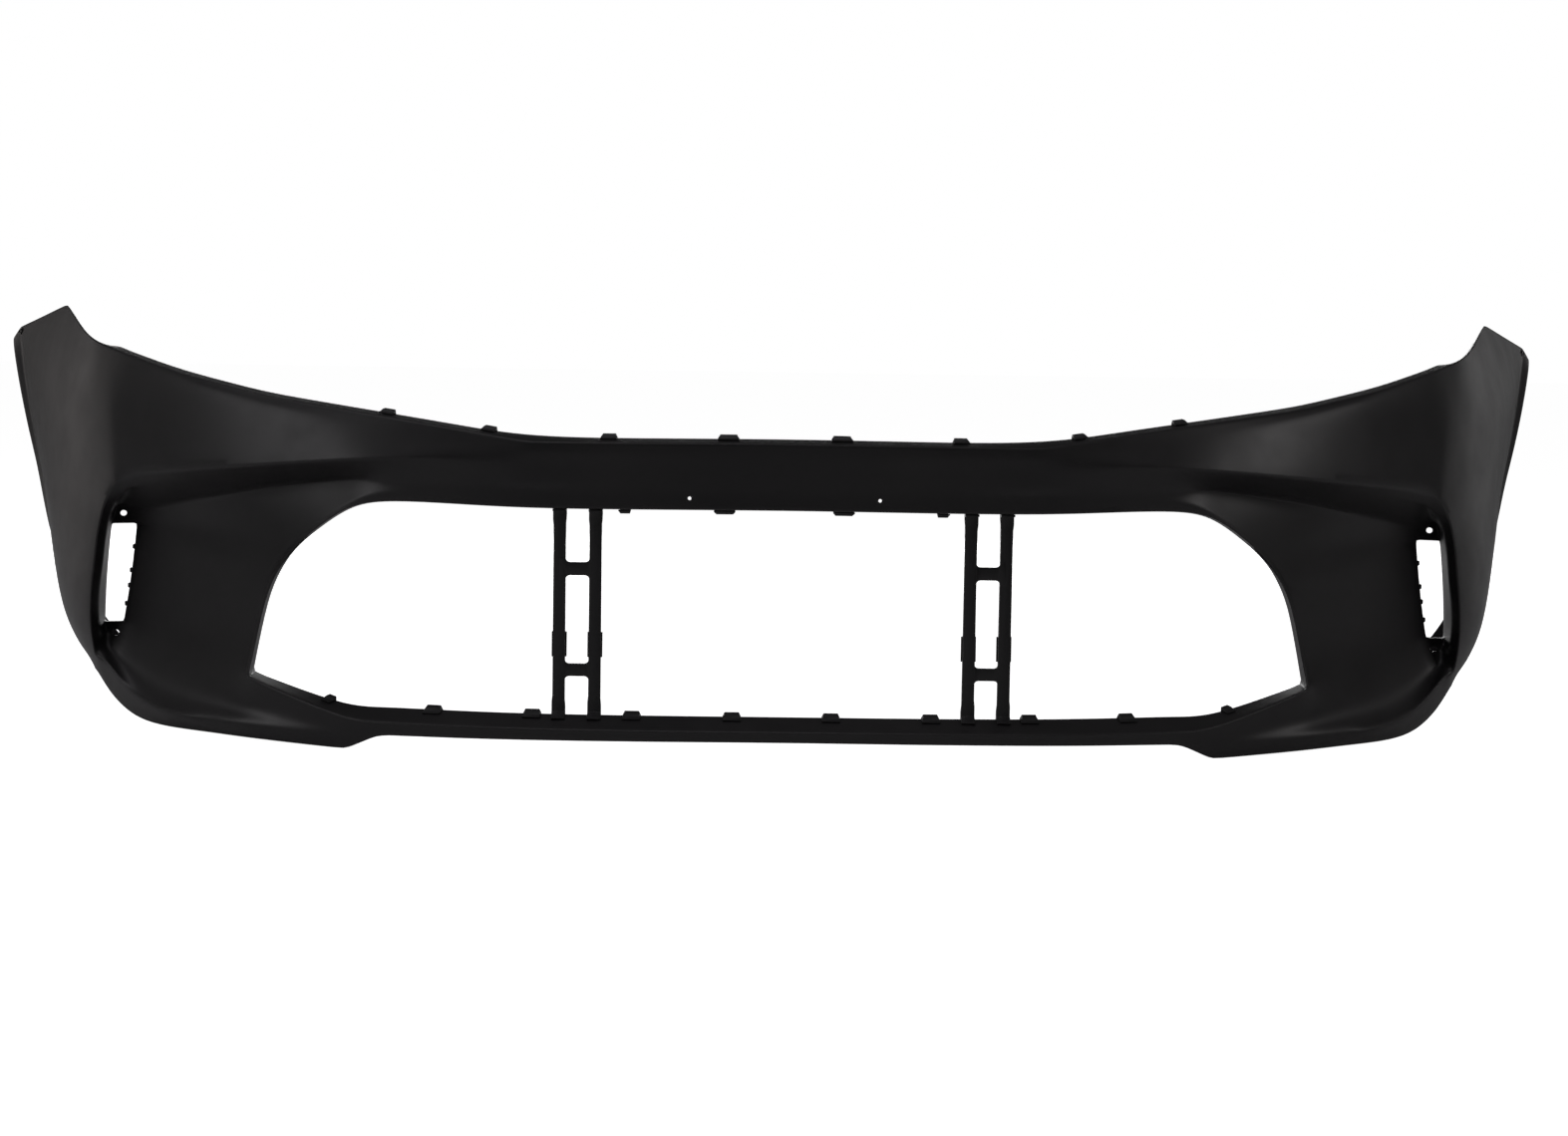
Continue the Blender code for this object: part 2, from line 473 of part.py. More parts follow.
def add_clip(name, frame, width, material):
    """A spring clip: a C that grips the flange's free edge, with a tapered hook on its outer plate."""
    axes, origin = frame
    outer, inner = GAP + CLIP_PLATE, -(WALL + GAP)
    rear, reach = EDGE_GAP + CLIP_PLATE, -CLIP_REACH
    profile = [(reach, GAP), (EDGE_GAP, GAP), (EDGE_GAP, inner), (reach * 0.7, inner),
               (reach * 0.7, inner - CLIP_PLATE), (rear, inner - CLIP_PLATE), (rear, outer + CLIP_HOOK),
               (reach * 0.4, outer + CLIP_HOOK), (reach * 0.6, outer), (reach, outer)]
    bm = bmesh.new()
    ends = []
    for side in (-1, 1):
        ring = []
        for back, out in profile:
            half = width / 2 * (CLIP_TAPER if out > outer else 1.0)
            ring.append(bm.verts.new(axes @ Vector((side * half, back, out)) + origin))
        ends.append(ring)
    bm.faces.new(ends[0])
    bm.faces.new(ends[1])
    for index in range(len(profile)):
        after = (index + 1) % len(profile)
        bm.faces.new((ends[0][index], ends[0][after], ends[1][after], ends[1][index]))
    return add_object(name, bm, material)


def add_clips(surface, lines):
    """Every clip, numbered from the left."""
    black = plastic("clip", (0.006, 0.006, 0.007), 0.5)
    for kind, line, places, up in (("top_clip", "top", TOP_CLIPS, 1), ("lip_clip", "lip", LIP_CLIPS, 1),
                                   ("band_clip", "band", BAND_CLIPS, -1)):
        both = sorted([(-x, width) for x, width in places] + [(x, width) for x, width in places])
        for number, (x, width) in enumerate(both, 1):
            frame = flange_frame(surface, lines[line], x, width, up)
            add_clip(f"{kind}_{number}", frame, width, black)


def rail_outline(top, foot):
    """A rail's side outline: a bar with jaws that grip the flange above and the ledge below."""
    rear, inner = EDGE_GAP + STRUT_DEPTH, -(WALL + GAP)
    bite, back_bite, outer = -STRUT_BITE, -STRUT_BITE * 0.6, GAP + STRUT_JAW
    lowest = inner - STRUT_JAW
    places = [(top, back_bite, lowest), (top, rear, lowest), (foot, rear, lowest),
              (foot, back_bite, lowest), (foot, back_bite, inner), (foot, EDGE_GAP, inner),
              (foot, EDGE_GAP, GAP), (foot, bite, GAP), (foot, bite, outer), (foot, EDGE_GAP, outer),
              (top, EDGE_GAP, outer), (top, bite, outer), (top, bite, GAP), (top, EDGE_GAP, GAP),
              (top, EDGE_GAP, inner), (top, back_bite, inner)]
    outline = [(axes @ Vector((0.0, back, out)) + origin, STRUT_HEAD)
               for (axes, origin), back, out in places]
    rear_necks, front_necks = (
        [(outline[start][0].lerp(outline[end][0], share), width) for share, width in STRUT_NECKS]
        for start, end in ((1, 2), (9, 10)))
    return outline[:2] + rear_necks + outline[2:10] + front_necks + outline[10:]


def add_rail(name, outline, x, material):
    bm = bmesh.new()
    ends = [[bm.verts.new((x + side * width / 2, p.y, p.z)) for p, width in outline] for side in (-1, 1)]
    for end in ends:
        bm.faces.new(end[:3] + end[17:])
        bm.faces.new(end[5:15])
        for rear, front in ((2, 16), (3, 15), (4, 14)):
            bm.faces.new((end[rear], end[rear + 1], end[front], end[front + 1]))
    for index in range(len(outline)):
        after = (index + 1) % len(outline)
        bm.faces.new((ends[0][index], ends[0][after], ends[1][after], ends[1][index]))
    return add_object(name, bm, material)


def add_rung(name, centre, height, lean, material):
    """A rung whose corners sweep into both rails, leaning with them."""
    middle = STRUT_SPREAD / 2
    start = middle - STRUT_NECKS[1][1] / 2 + RUNG_OVERLAP - RUNG_FILLET
    quarter = [(middle, height / 2 + RUNG_FILLET)]
    for step in range(RUNG_ARC_STEPS, -1, -1):
        angle = math.pi / 2 * step / RUNG_ARC_STEPS
        quarter.append((start + RUNG_FILLET * math.sin(angle),
                        height / 2 + RUNG_FILLET * (1 - math.cos(angle))))
    upper = quarter + [(-x, z) for x, z in reversed(quarter)]
    outline = upper + [(x, -z) for x, z in reversed(upper)]
    bm = bmesh.new()
    ends = [[bm.verts.new(centre + Vector((x, lean * z + side * RUNG_DEPTH / 2, z))) for x, z in outline]
            for side in (-1, 1)]
    for end in ends:
        bm.faces.new(end)
    for index in range(len(outline)):
        after = (index + 1) % len(outline)
        bm.faces.new((ends[0][index], ends[0][after], ends[1][after], ends[1][index]))
    return add_object(name, bm, material)


def add_block(name, centre, size, material):
    bm = bmesh.new()
    bmesh.ops.create_cube(bm, size=1.0)
    bmesh.ops.scale(bm, vec=size, verts=bm.verts)
    bmesh.ops.translate(bm, vec=centre, verts=bm.verts)
    return add_object(name, bm, material)


def add_strut(name, side, surface, lines, material):
    """A ladder of two rails and two rungs, hooked over both flanges, with a grille hook on each rail."""
    rails = []
    middles = []
    for number, offset in enumerate((-STRUT_SPREAD / 2, STRUT_SPREAD / 2)):
        x = side * STRUT_X + offset
        top = flange_frame(surface, lines["band"], x, STRUT_HEAD, -1)
        foot = flange_frame(surface, lines["lip"], x, STRUT_HEAD, 1)
        outline = rail_outline(top, foot)
        rails.append(add_rail(name if number == 0 else f"{name}_rail", outline, x, material))
        middles.append([(outline[6][0] + outline[13][0]) / 2, (outline[1][0] + outline[18][0]) / 2])
    strut, helpers = rails[0], rails[1:]
    low, high = [(a + b) / 2 for a, b in zip(*middles)]
    lean = (high.y - low.y) / (high.z - low.z)
    for number, (share, height) in enumerate(RUNGS):
        centre = low.lerp(high, share)
        centre.x = side * STRUT_X
        helpers.append(add_rung(f"{name}_rung_{number}", centre, height, lean, material))
    for number, (foot, top) in enumerate(middles):
        centre = foot.lerp(top, HOOK_SHARE)
        centre.y += (STRUT_DEPTH + HOOK_SIZE[1]) / 2 - HOOK_OVERLAP
        centre.x = side * STRUT_X + (number - 0.5) * STRUT_SPREAD
        helpers.append(add_block(f"{name}_hook_{number}", centre, HOOK_SIZE, material))
    for helper in helpers:
        helper.hide_render = True
        helper.display_type = "WIRE"
        join = strut.modifiers.new(helper.name, "BOOLEAN")
        join.operation = "UNION"
        join.object = helper


def main():
    clear_scene()
    shell = add_shell()
    bpy.context.view_layer.update()
    surface = surface_of(shell)
    lines = flange_lines()
    add_clips(surface, lines)
    grey = plastic("strut", (0.010, 0.010, 0.011), 0.4)
    add_strut("ladder_strut_left", -1, surface, lines, grey)
    add_strut("ladder_strut_right", 1, surface, lines, grey)


main()
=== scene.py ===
"""Looks of the front bumper cover: the moulded shell at full smoothness, rounded struts and clips, and the
studio round them. Lengths are in millimetres until a mesh is written, and the shell's points are counted
from the cage's own origin, as in the design.
"""

import json
import math

import bmesh
import bpy
from mathutils import Matrix, Vector

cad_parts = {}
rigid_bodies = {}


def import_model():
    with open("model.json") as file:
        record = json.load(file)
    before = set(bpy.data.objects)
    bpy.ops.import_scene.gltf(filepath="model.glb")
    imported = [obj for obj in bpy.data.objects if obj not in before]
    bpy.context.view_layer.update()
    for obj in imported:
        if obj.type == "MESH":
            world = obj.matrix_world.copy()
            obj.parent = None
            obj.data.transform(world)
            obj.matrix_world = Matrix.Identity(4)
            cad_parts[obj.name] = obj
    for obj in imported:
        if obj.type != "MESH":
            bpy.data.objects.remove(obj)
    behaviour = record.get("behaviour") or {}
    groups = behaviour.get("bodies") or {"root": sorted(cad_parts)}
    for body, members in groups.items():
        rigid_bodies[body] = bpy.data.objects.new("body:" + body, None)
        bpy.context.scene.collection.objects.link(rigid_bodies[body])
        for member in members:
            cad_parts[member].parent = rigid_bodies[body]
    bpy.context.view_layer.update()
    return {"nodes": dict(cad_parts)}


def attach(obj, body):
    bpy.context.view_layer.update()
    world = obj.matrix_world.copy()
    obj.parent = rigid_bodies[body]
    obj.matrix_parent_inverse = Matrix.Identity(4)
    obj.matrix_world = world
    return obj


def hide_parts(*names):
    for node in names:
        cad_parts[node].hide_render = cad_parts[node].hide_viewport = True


MM = 0.001
# How near two points of a mesh count as one, in metres: across the mirror plane, and in a CAD piece.
MIRROR_MERGE = 0.0001
CAD_MERGE = 1e-6

# The shell.
WALL = 3.0
SMOOTHING = 3
SLOT_HOLE_RADIUS = 3.2
SLOT_HOLE_UPPER = (717.0, 289.0, 225.5)
SLOT_HOLE_LOWER = (727.0, 298.0, 93.5)
SLOT_HOLE_AXIS = (0.30, 1.0, 0.0)
PILOT_HOLE_RADIUS = 1.8
PILOT_HOLE = (97.0, 6.0, 264.0)
RETURN_DEPTH = 24.0
LEDGE_DEPTH = 30.0
LEDGE_RISE = 13.0
LEDGE_BEND_RISE = 10.0
LEDGE_END_RISE = 3.0
SLOT_RIM_DEPTH = 9.0
BORE_DEPTH = 24.0
BORE_SIDES = 28
SHARP_ANGLE = 32.0  # degrees

# Plan view of the front: it falls back from the middle as a power of the distance across.
PLAN_HALF_WIDTH = 780.0
PLAN_FALL = 330.0
PLAN_POWER = 2.95

# Wheel arch: a circle in side view, on a panel that widens with height.
ARCH_CENTRE_Y = 970.0
ARCH_CENTRE_Z = 143.0
ARCH_RADIUS = 370.0
ARCH_FOOT_X = 791.0
ARCH_LEAN = 0.326
ARCH_BULGE = 8.0
ARCH_BULGE_SPAN = 260.0
ARCH_TUCK = 60.0
ARCH_TUCK_SPAN = 130.0
ARCH_FLARE_START_Z = 135.0
ARCH_TOP_Z = 425.0
ARCH_FLARE = 11.0
ARCH_FLARE_DEPTH = 10.0
ARCH_RETURN = 24.0
ARCH_RETURN_BACK = 6.0
ARCH_STRIP = 3.0

# Teeth on the slots' inner edges: how far down each is, its size, its rounding and how far back it sits.
TOOTH_PLACES = (0.24, 0.48, 0.635, 0.82)
TOOTH_SIZE = (5.6, 5.0, 5.6)
TOOTH_ROUNDING = 1.4
TOOTH_STEPS = 3
TOOTH_SETBACK = 1.0

# Struts and clips: the radius of their edges and the steps round it. Two faces are one below the first
# angle, and meet in an edge that is rounded above the second, both in degrees.
STRUT_EDGE = (1.1, 3)
CLIP_EDGE = (0.35, 2)
FLAT_ANGLE = 0.6
EDGE_ANGLE = 30.0

# The plastics. Grain and edge radius are in metres, as the materials see them.
SHELL_PLASTIC = {"dark": (0.0065, 0.006, 0.0068), "light": (0.010, 0.0093, 0.0098),
                 "roughness": 0.43, "grain_size": 0.0009, "edge_radius": 0.0024}
STRUT_PLASTIC = {"dark": (0.0065, 0.0062, 0.0068), "light": (0.010, 0.0096, 0.0102),
                 "roughness": 0.38, "grain_size": 0.0007, "edge_radius": 0.0010}
# The clips' plastic is darker than the shell's as painted shade, so that their tops look black as if in
# shadow.
CLIP_PLASTIC_PAINTED_SHADE = {"dark": (0.003, 0.003, 0.0035), "light": (0.005, 0.005, 0.0055),
                "roughness": 0.55, "grain_size": 0.0006, "edge_radius": 0.0005}
PLASTIC_IOR = 1.49
PLASTIC_SPECULAR = 0.42

# What varies over the plastic. A NOISE is its scale, detail and roughness. A RANGE is the span of values
# that runs from none of the effect to all of it.
CLOUD_NOISE = (7.0, 4.0)
CLOUD_RANGE = (0.35, 0.68)
DUST = (0.042, 0.039, 0.039)
DUST_FACING = (0.15, 1.0)
DUST_NOISE = (38.0, 5.0, 0.7)
DUST_RANGE = (0.35, 0.75)
DUST_MOST = 0.10
DUST_DULLS = 0.5
# Edges are lightened towards this colour partly as wear and partly as a painted highlight along them.
WORN_EDGE_AND_HIGHLIGHT = (0.035, 0.033, 0.034)
WORN_AND_HIGHLIGHT_RANGE = (0.995, 0.86)
WORN_AND_HIGHLIGHT_SHARE = 0.25
WORN_POLISH = 0.07
EDGE_SAMPLES = 6
SCUFF_TURN = (0.0, 0.35, 0.1)
SCUFF_STRETCH = (9.0, 260.0, 340.0)
SCUFF_NOISE = (1.0, 2.0)
SCUFF_RANGE = (0.66, 0.72)
PATCH_NOISE = (4.0, 2.0)
PATCH_RANGE = (0.5, 0.62)
SCUFF_DULLS = 0.06
SCUFF_DEPTH = 0.6
ROUGH_NOISE = (16.0, 4.0)
ROUGH_RANGE = (0.3, 0.7)
ROUGH_BELOW = 0.035
ROUGH_ABOVE = 0.045
PEBBLE_SCALE = 0.6
PEBBLE_DETAIL = 2.0
GRAIN_STRENGTH = 0.16
GRAIN_HEIGHT = 0.00012

# The room. It looks white to the camera and lights the cover only dimly. The floor is in millimetres.
WORLD_LIGHT = 0.05
WORLD_SEEN = 1.0
FLOOR_SEEN = 0.95
FLOOR_GREY = 0.8
FLOOR_ROUGHNESS = 0.9
FLOOR_SIZE = 30000.0
FLOOR_DROP = 0.5

# The camera and the lamps, in metres and degrees.
CAMERA_YAW = 1.219
CAMERA_PITCH = 4.0
CAMERA_ROLL = 0.833
CAMERA_PLACE = (-0.0746, -3.8665, 0.4446)
CAMERA_LENS = 79.31  # millimetres, on a sensor this wide
CAMERA_SENSOR = 36.0
# Name, place, what it points at, width and height, watts, colour.
LIGHTS = (("key", (-3.6, -1.8, 1.9), (-0.5, 0.0, 0.3), (1.6, 1.6), 27.0, (1.0, 0.98, 1.0)),
          ("key_right", (3.7, -1.6, 2.1), (0.6, 0.0, 0.3), (1.2, 1.0), 25.0, (1.0, 0.97, 0.97)),
          ("top", (-0.6, -0.9, 3.4), (0.0, -0.2, 0.2), (3.6, 1.0), 28.0, (0.98, 0.95, 1.0)),
          ("behind", (0.0, 3.4, 0.75), (0.0, 0.0, 0.2), (3.0, 0.8), 40.0, (1.0, 1.0, 1.0)),
          ("right", (2.9, 2.2, 0.9), (0.9, 0.1, 0.25), (0.8, 1.6), 3.5, (1.0, 0.99, 0.99)),
          ("left", (-2.8, 1.6, 0.7), (-0.9, 0.2, 0.3), (0.8, 1.6), 3.5, (1.0, 0.94, 0.92)))

# Rows of the shell's cage, from the upper flange down to the lower flange.
(TOP_FLANGE, TOP_CREASE, SHOULDER, BLADE, BEVEL, ROOF_REAR, STRIP, OPENING_TOP, SLOT_TOP,
 SLOT_HIGH, SLOT_LOW, SLOT_BOTTOM, LIP, FOLD, TROUGH, RIDGE, BOTTOM, BOTTOM_FLANGE) = range(18)

# Columns of the cage, from the mirror plane out to the wheel arch.
(CENTRE, QUARTER, KINK, LAMP, ROOF_TIP, DIAGONAL, OPENING_SIDE, STRIP_SIDE, PANEL_INNER, PANEL_OUTER,
 SLOT_INNER, SLOT_OUTER, BEVEL_SIDE, BLADE_SIDE, CORNER, TIP, SIDE, ARCH_INNER, ARCH_EDGE,
 ARCH_FLANGE) = range(20)

# The cage's own origin, seen from the middle of the cover's base.
CAGE_ORIGIN = (0.0, -366.5, 4.9)

# Where a column stands when its row doesn't say otherwise.
COLUMN_X = (0, 131, 262, 340, 416, 458, 500, 545, 592, 645, 690, 712, 724, 738)

# Front view of each row as (column, x, z, recess): recess is how far it stands behind the plan curve.
ROWS = {
    TOP_CREASE: [(CENTRE, 0, 321, 4), (KINK, 262, 319, 5), (LAMP, 340, 331, 10), (ROOF_TIP, 416, 342, 8),
                 (STRIP_SIDE, 545, 360, 8), (PANEL_OUTER, 645, 381, 8), (SLOT_OUTER, 712, 400, 10),
                 (BLADE_SIDE, 738, 408, 16)],
    SHOULDER: [(CENTRE, 0, 308, 5), (KINK, 262, 309, 4), (LAMP, 340, 315, 7), (ROOF_TIP, 416, 326, 1),
               (STRIP_SIDE, 545, 350, 0), (PANEL_OUTER, 645, 373, 0), (SLOT_INNER, 690, 370, -2),
               (BEVEL_SIDE, 724, 356, -8), (BLADE_SIDE, 736, 348, -10)],
    BLADE: [(CENTRE, 0, 295, 6), (KINK, 262, 299, 6), (LAMP, 340, 302, -1), (ROOF_TIP, 416, 300, -11),
            (DIAGONAL, 458, 297, -14), (STRIP_SIDE, 545, 289, -18), (PANEL_OUTER, 645, 279, -18),
            (SLOT_INNER, 682, 274, -16), (SLOT_OUTER, 698, 271, -16), (BEVEL_SIDE, 709, 267.5, -17),
            (BLADE_SIDE, 719, 261, -19)],
    BEVEL: [(CENTRE, 0, 282, 7), (KINK, 262, 284, 7), (LAMP, 340, 288, 5), (ROOF_TIP, 416, 290, 0),
            (DIAGONAL, 458, 288, -1), (STRIP_SIDE, 545, 279, -1), (PANEL_OUTER, 645, 267, -2),
            (SLOT_INNER, 682, 261, -1), (SLOT_OUTER, 699, 257, 0), (BEVEL_SIDE, 714, 250, -4),
            (BLADE_SIDE, 729, 247, -20)],
    ROOF_REAR: [(CENTRE, 0, 270, 8), (KINK, 262, 271, 8), (LAMP, 340, 274, 8), (ROOF_TIP, 416, 277, 10),
                (DIAGONAL, 458, 274, 25), (STRIP_SIDE, 545, 262, 35), (PANEL_OUTER, 645, 241, 36),
                (SLOT_INNER, 695, 230, 36), (SLOT_OUTER, 724, 238, 24), (BEVEL_SIDE, 727, 232, -2),
                (BLADE_SIDE, 735, 234, -20)],
    STRIP: [(CENTRE, 0, 261, 8), (KINK, 262, 261, 8), (LAMP, 340, 263, 8), (ROOF_TIP, 418, 267, 9),
            (DIAGONAL, 450, 251, 12), (OPENING_SIDE, 483, 232, 15), (STRIP_SIDE, 512, 210, 20),
            (PANEL_INNER, 575, 222, 38), (PANEL_OUTER, 640, 228, 41), (SLOT_INNER, 698, 226, 42),
            (SLOT_OUTER, 728, 231, 28), (BEVEL_SIDE, 731, 219, 0), (BLADE_SIDE, 739, 220, -19)],
    OPENING_TOP: [(CENTRE, 0, 253, 8), (KINK, 262, 251, 8), (LAMP, 340, 254, 9), (ROOF_TIP, 421, 256, 10),
                  (DIAGONAL, 455, 246, 12), (OPENING_SIDE, 495, 216, 15), (STRIP_SIDE, 523, 197, 22),
                  (PANEL_INNER, 580, 203, 39), (PANEL_OUTER, 641, 214, 43), (SLOT_INNER, 701, 221, 44),
                  (SLOT_OUTER, 730, 223, 29), (BEVEL_SIDE, 734, 206, 0), (BLADE_SIDE, 742, 207, -20)],
    SLOT_TOP: [(OPENING_SIDE, 517, 195, 17), (STRIP_SIDE, 532, 182, 23), (PANEL_INNER, 585, 186, 35),
               (PANEL_OUTER, 643, 200, 42), (SLOT_INNER, 703, 215, 45), (SLOT_OUTER, 735, 213, 30),
               (BEVEL_SIDE, 736, 192, 0), (BLADE_SIDE, 744, 194, -20)],
    SLOT_HIGH: [(OPENING_SIDE, 532, 171, 20), (STRIP_SIDE, 538, 167, 24), (PANEL_INNER, 590, 167, 37),
                (PANEL_OUTER, 648, 174, 44), (SLOT_INNER, 707, 180, 44), (SLOT_OUTER, 739, 178, 28),
                (BEVEL_SIDE, 739, 167, 0), (BLADE_SIDE, 748, 168, -19)],
    SLOT_LOW: [(OPENING_SIDE, 543, 146, 23), (STRIP_SIDE, 548, 144, 26), (PANEL_INNER, 598, 141, 38),
               (PANEL_OUTER, 655, 142, 45), (SLOT_INNER, 712, 144, 42), (SLOT_OUTER, 742, 142, 27),
               (BEVEL_SIDE, 744, 142, 0), (BLADE_SIDE, 751, 142, -20)],
    SLOT_BOTTOM: [(OPENING_SIDE, 554, 101, 27), (STRIP_SIDE, 559, 100, 28), (PANEL_INNER, 606, 102, 38),
                  (PANEL_OUTER, 661, 105, 45), (SLOT_INNER, 719, 106, 38), (SLOT_OUTER, 743, 104, 26),
                  (BEVEL_SIDE, 745, 116, 0), (BLADE_SIDE, 752, 116, -20)],
    LIP: [(CENTRE, 0, 25, 10), (KINK, 262, 24, 10), (ROOF_TIP, 416, 25, 10), (DIAGONAL, 455, 26, 10),
          (OPENING_SIDE, 561, 63, 12), (STRIP_SIDE, 570, 66, 20), (PANEL_INNER, 611, 76, 32),
          (PANEL_OUTER, 663, 84, 40), (SLOT_INNER, 717, 91, 34), (SLOT_OUTER, 740, 91, 24),
          (BEVEL_SIDE, 743, 97, 2), (BLADE_SIDE, 751, 97, -19)],
    FOLD: [(CENTRE, 0, 22.5, 11), (KINK, 262, 22, 11), (ROOF_TIP, 417, 22, 11), (DIAGONAL, 456, 20, 11),
           (OPENING_SIDE, 548, 36, 16), (STRIP_SIDE, 568, 37, 20), (PANEL_INNER, 613, 45, 26),
           (PANEL_OUTER, 664, 58, 30), (SLOT_INNER, 716, 73, 28), (SLOT_OUTER, 738, 82, 20),
           (BEVEL_SIDE, 743, 86, 4), (BLADE_SIDE, 749, 84, -16)],
    TROUGH: [(CENTRE, 0, 20, 12), (KINK, 262, 20, 12), (ROOF_TIP, 417, 19, 12), (DIAGONAL, 455, 13, 12),
             (OPENING_SIDE, 547, 22, 13), (STRIP_SIDE, 570, 24, 16), (PANEL_INNER, 613, 28, 20),
             (PANEL_OUTER, 664, 37, 22), (SLOT_INNER, 712, 59, 22), (SLOT_OUTER, 734, 73, 18),
             (BEVEL_SIDE, 742, 77, 2), (BLADE_SIDE, 748, 74, -13)],
    RIDGE: [(CENTRE, 0, 18, 13), (KINK, 262, 17, 13), (ROOF_TIP, 417, 16, 13), (DIAGONAL, 454, 6, 13),
            (OPENING_SIDE, 546, 12, 6), (STRIP_SIDE, 570, 14, 2), (PANEL_INNER, 613, 15, 0),
            (PANEL_OUTER, 664, 17, 0), (SLOT_INNER, 700, 32, 0), (SLOT_OUTER, 722, 54, -4),
            (BEVEL_SIDE, 735, 66, -6), (BLADE_SIDE, 746, 67, -8)],
    BOTTOM: [(CENTRE, 0, 14, 15), (KINK, 262, 12, 15), (ROOF_TIP, 417, 11, 15), (DIAGONAL, 452, -6, 16),
             (OPENING_SIDE, 546, -3, 16), (PANEL_INNER, 613, -1, 16), (PANEL_OUTER, 664, -1, 16),
             (SLOT_INNER, 698, 4, 16), (SLOT_OUTER, 722, 18, 16), (BEVEL_SIDE, 738, 33, 16),
             (BLADE_SIDE, 749, 50, 10)],
}

# The cheek's own upper edge, from the lamp round the fender tip to the arch corner, as points.
CHEEK_TOP = {CORNER: (769, 340, 419), TIP: (813, 478, 456), SIDE: (860, 580, 441),
             ARCH_INNER: (911, 698, 427), ARCH_EDGE: (924, 716, 412)}
# Height at which each row reaches the wheel arch.
ARCH_Z = {SHOULDER: 402, BLADE: 365, BEVEL: 325, ROOF_REAR: 295, STRIP: 268, OPENING_TOP: 243,
          SLOT_TOP: 216, SLOT_HIGH: 188, SLOT_LOW: 158, SLOT_BOTTOM: 128, LIP: 105, FOLD: 88,
          TROUGH: 74, RIDGE: 59, BOTTOM: 40}
CHEEK_STEPS = {CORNER: 0.2, TIP: 0.45, SIDE: 0.75}
# How far along its chord the cheek's bend stands, sideways and rearwards, at the foot and high up.
CHEEK_BEND_LOW = (0.78, 0.20)
CHEEK_BEND_HIGH = (0.62, 0.34)
CHEEK_BEND_LOW_Z = 100.0
CHEEK_BEND_HIGH_Z = 300.0

# Flanges, as the step from the visible edge to the flange's free edge.
TOP_FLANGE_STEPS = {CENTRE: (0, 22, 4), SLOT_INNER: (-2, 22, 3), BLADE_SIDE: (-8, 19, 1),
                    CORNER: (-10, 16, -13), TIP: (-8, 10, -22), ARCH_FLANGE: (-12, 2, -16)}
BOTTOM_FLANGE_STEPS = {CENTRE: (0, 42, 3), SLOT_INNER: (-8, 36, 4), BEVEL_SIDE: (-20, 20, 5),
                       ARCH_FLANGE: (-26, 2, 2)}

# Creased lines: (row or column number, from, to, sharpness), then the slot's edge and the sharp corners.
ROW_CREASES = [(TOP_CREASE, CENTRE, ARCH_EDGE, 0.95), (SHOULDER, LAMP, PANEL_OUTER, 0.3),
               (BLADE, LAMP, ROOF_TIP, 0.5), (BLADE, ROOF_TIP, BLADE_SIDE, 0.95),
               (BEVEL, PANEL_OUTER, BEVEL_SIDE, 0.6), (ROOF_REAR, ROOF_TIP, PANEL_OUTER, 0.6),
               (ROOF_REAR, PANEL_OUTER, SLOT_OUTER, 0.6), (STRIP, ROOF_TIP, STRIP_SIDE, 0.9),
               (OPENING_TOP, CENTRE, OPENING_SIDE, 0.95), (LIP, CENTRE, OPENING_SIDE, 0.95),
               (LIP, OPENING_SIDE, STRIP_SIDE, 0.4), (RIDGE, PANEL_INNER, PANEL_OUTER, 0.5),
               (RIDGE, PANEL_OUTER, BLADE_SIDE, 0.95), (BOTTOM, CENTRE, ARCH_EDGE, 0.9)]
COLUMN_CREASES = [(KINK, TOP_CREASE, ROOF_REAR, 0.6), (BLADE_SIDE, BLADE, RIDGE, 0.92),
                  (BEVEL_SIDE, BEVEL, FOLD, 0.6),
                  (SLOT_OUTER, ROOF_REAR, LIP, 0.8), (STRIP_SIDE, STRIP, SLOT_HIGH, 0.8),
                  (OPENING_SIDE, OPENING_TOP, LIP, 0.95), (ARCH_INNER, TOP_CREASE, SLOT_LOW, 0.9),
                  (ARCH_EDGE, TOP_CREASE, BOTTOM, 0.95)]
SHARP_POINTS = [(LIP, OPENING_SIDE), (TOP_CREASE, TIP), (TOP_FLANGE, TIP), (TOP_CREASE, ARCH_EDGE),
                (TOP_CREASE, ARCH_INNER), (TOP_CREASE, KINK), (OPENING_TOP, LAMP), (BOTTOM, ARCH_EDGE),
                (BOTTOM, DIAGONAL), (BOTTOM, ROOF_TIP)]
SLOT_CREASE = 0.9
SLOT_POINT_CREASE = 0.7
CORNER_CREASE = 0.8

# Steps from the opening's edge to its flange's rear edge, along the top, the side and the foot's corner.
TOP_RETURN = (0.0, RETURN_DEPTH, -1.5)
SIDE_RETURN = (-1.0, RETURN_DEPTH, 0.0)
CORNER_RETURN = (-2.0, LEDGE_DEPTH, LEDGE_END_RISE)


# The shell's cage.

def plan_y(x):
    """How far behind its middle the front stands, at a distance across."""
    return PLAN_FALL * (abs(x) / PLAN_HALF_WIDTH) ** PLAN_POWER


def between(stations, column, place):
    """The values at a column, straight between the nearest two stations."""
    for before, after in zip(stations, stations[1:]):
        if before[0] <= column <= after[0]:
            share = (place(column) - place(before[0])) / (place(after[0]) - place(before[0]))
            return [a + share * (b - a) for a, b in zip(before[1:], after[1:])]
    return list(stations[-1][1:])


def front_point(row, column):
    """A point of the front, by its row's stations."""
    x, z, recess = between(ROWS[row], column, lambda c: COLUMN_X[c])
    return Vector((x, plan_y(x) + recess, z))


